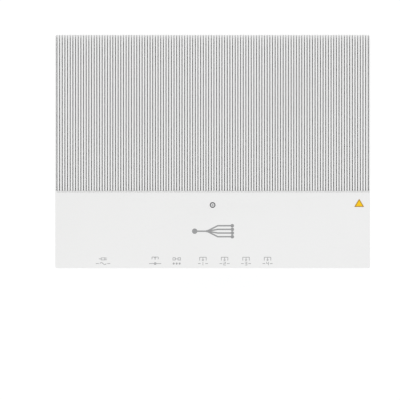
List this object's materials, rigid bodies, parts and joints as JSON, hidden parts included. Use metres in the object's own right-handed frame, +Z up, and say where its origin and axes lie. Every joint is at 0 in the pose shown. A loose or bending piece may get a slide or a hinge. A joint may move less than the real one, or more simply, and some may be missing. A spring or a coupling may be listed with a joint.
{
  "type": "optical network terminal",
  "caption": "Flat white wall or shelf unit with a finned lid, a mains inlet and a row of blue fibre adapters with flexing latch arms.",
  "frame": {"origin": "middle of the footprint, on the surface that the rubber feet stand on", "axes": "+X along the port edge, to the right when facing the ports; +Y from the ports to the rear; +Z up through the finned lid"},
  "size_m": [0.232, 0.172, 0.0437],
  "materials": {
    "case_plastic": "fine satin white",
    "sink_coating": "white powder coat",
    "amber_print": "amber printed film",
    "light_guide": "frosted clear moulding",
    "inlet_plastic": "black moulding",
    "pin_plating": "nickel plated",
    "adapter_plastic": "blue moulding",
    "adapter_inner_plastic": "dark blue moulding",
    "ceramic": "polished zirconia",
    "foot_rubber": "black rubber",
    "screw_steel": "zinc plated",
    "circuit_board": "green solder mask",
    "tray_plastic": "light grey moulding",
    "winding_tape": "yellow film tape",
    "capacitor_sleeve": "dark sleeve",
    "choke_winding": "enamelled copper",
    "chip_resin": "black resin",
    "spreader_aluminium": "mill finish",
    "pad_silicone": "soft grey blue pad",
    "splitter_steel": "brushed case"
  },
  "bodies": {
    "main": {"bottom_case": "case_plastic", "top_cover": "case_plastic", "heat_sink": "sink_coating", "marker_sticker": "amber_print", "indicator_light_guide": "light_guide", "port_light_guide": "light_guide", "inlet_housing": "inlet_plastic", "inlet_pin_left": "pin_plating", "inlet_pin_right": "pin_plating", "adapter_housing_input": "adapter_plastic", "sleeve_holder_input": "adapter_inner_plastic", "split_sleeve_input": "ceramic", "adapter_housing_cascade": "adapter_plastic", "sleeve_holder_cascade": "adapter_inner_plastic", "split_sleeve_cascade": "ceramic", "adapter_housing_output_1": "adapter_plastic", "sleeve_holder_output_1": "adapter_inner_plastic", "split_sleeve_output_1": "ceramic", "adapter_housing_output_2": "adapter_plastic", "sleeve_holder_output_2": "adapter_inner_plastic", "split_sleeve_output_2": "ceramic", "adapter_housing_output_3": "adapter_plastic", "sleeve_holder_output_3": "adapter_inner_plastic", "split_sleeve_output_3": "ceramic", "adapter_housing_output_4": "adapter_plastic", "sleeve_holder_output_4": "adapter_inner_plastic", "split_sleeve_output_4": "ceramic", "rubber_foot_1": "foot_rubber", "rubber_foot_2": "foot_rubber", "rubber_foot_3": "foot_rubber", "rubber_foot_4": "foot_rubber", "case_screw_1": "screw_steel", "case_screw_2": "screw_steel", "case_screw_3": "screw_steel", "case_screw_4": "screw_steel", "heat_sink_screw_left": "screw_steel", "heat_sink_screw_right": "screw_steel", "board_screw_1": "screw_steel", "board_screw_2": "screw_steel", "main_board": "circuit_board", "fibre_tray": "tray_plastic", "transformer": "winding_tape", "bulk_capacitor": "capacitor_sleeve", "line_choke": "choke_winding", "driver_chip": "chip_resin", "heat_spreader": "spreader_aluminium", "thermal_pad": "pad_silicone", "splitter_module": "splitter_steel"},
    "latch_left_input": {"latch_left_input": "adapter_inner_plastic"},
    "latch_right_input": {"latch_right_input": "adapter_inner_plastic"},
    "latch_left_cascade": {"latch_left_cascade": "adapter_inner_plastic"},
    "latch_right_cascade": {"latch_right_cascade": "adapter_inner_plastic"},
    "latch_left_output_1": {"latch_left_output_1": "adapter_inner_plastic"},
    "latch_right_output_1": {"latch_right_output_1": "adapter_inner_plastic"},
    "latch_left_output_2": {"latch_left_output_2": "adapter_inner_plastic"},
    "latch_right_output_2": {"latch_right_output_2": "adapter_inner_plastic"},
    "latch_left_output_3": {"latch_left_output_3": "adapter_inner_plastic"},
    "latch_right_output_3": {"latch_right_output_3": "adapter_inner_plastic"},
    "latch_left_output_4": {"latch_left_output_4": "adapter_inner_plastic"},
    "latch_right_output_4": {"latch_right_output_4": "adapter_inner_plastic"}
  },
  "joints": [
    {"name": "latch_left_input_flex", "type": "hinge", "parent": "main", "child": "latch_left_input", "pos_m": [-0.04569, -0.0723, 0.01805], "axis": [0, 0, -1], "range_deg": [0, 4], "stiffness_Nm_per_rad": 0.1},
    {"name": "latch_right_input_flex", "type": "hinge", "parent": "main", "child": "latch_right_input", "pos_m": [-0.03909, -0.0723, 0.01805], "axis": [0, 0, 1], "range_deg": [0, 4], "stiffness_Nm_per_rad": 0.1},
    {"name": "latch_left_cascade_flex", "type": "hinge", "parent": "main", "child": "latch_left_cascade", "pos_m": [-0.02981, -0.0723, 0.01805], "axis": [0, 0, -1], "range_deg": [0, 4], "stiffness_Nm_per_rad": 0.1},
    {"name": "latch_right_cascade_flex", "type": "hinge", "parent": "main", "child": "latch_right_cascade", "pos_m": [-0.02321, -0.0723, 0.01805], "axis": [0, 0, 1], "range_deg": [0, 4], "stiffness_Nm_per_rad": 0.1},
    {"name": "latch_left_output_1_flex", "type": "hinge", "parent": "main", "child": "latch_left_output_1", "pos_m": [-0.01024, -0.0723, 0.0179], "axis": [0, 0, -1], "range_deg": [0, 4], "stiffness_Nm_per_rad": 0.1},
    {"name": "latch_right_output_1_flex", "type": "hinge", "parent": "main", "child": "latch_right_output_1", "pos_m": [-0.00404, -0.0723, 0.0179], "axis": [0, 0, 1], "range_deg": [0, 4], "stiffness_Nm_per_rad": 0.1},
    {"name": "latch_left_output_2_flex", "type": "hinge", "parent": "main", "child": "latch_left_output_2", "pos_m": [0.00571, -0.0723, 0.0179], "axis": [0, 0, -1], "range_deg": [0, 4], "stiffness_Nm_per_rad": 0.1},
    {"name": "latch_right_output_2_flex", "type": "hinge", "parent": "main", "child": "latch_right_output_2", "pos_m": [0.01191, -0.0723, 0.0179], "axis": [0, 0, 1], "range_deg": [0, 4], "stiffness_Nm_per_rad": 0.1},
    {"name": "latch_left_output_3_flex", "type": "hinge", "parent": "main", "child": "latch_left_output_3", "pos_m": [0.02154, -0.0723, 0.0179], "axis": [0, 0, -1], "range_deg": [0, 4], "stiffness_Nm_per_rad": 0.1},
    {"name": "latch_right_output_3_flex", "type": "hinge", "parent": "main", "child": "latch_right_output_3", "pos_m": [0.02774, -0.0723, 0.0179], "axis": [0, 0, 1], "range_deg": [0, 4], "stiffness_Nm_per_rad": 0.1},
    {"name": "latch_left_output_4_flex", "type": "hinge", "parent": "main", "child": "latch_left_output_4", "pos_m": [0.03739, -0.0723, 0.0179], "axis": [0, 0, -1], "range_deg": [0, 4], "stiffness_Nm_per_rad": 0.1},
    {"name": "latch_right_output_4_flex", "type": "hinge", "parent": "main", "child": "latch_right_output_4", "pos_m": [0.04359, -0.0723, 0.0179], "axis": [0, 0, 1], "range_deg": [0, 4], "stiffness_Nm_per_rad": 0.1}
  ]
}
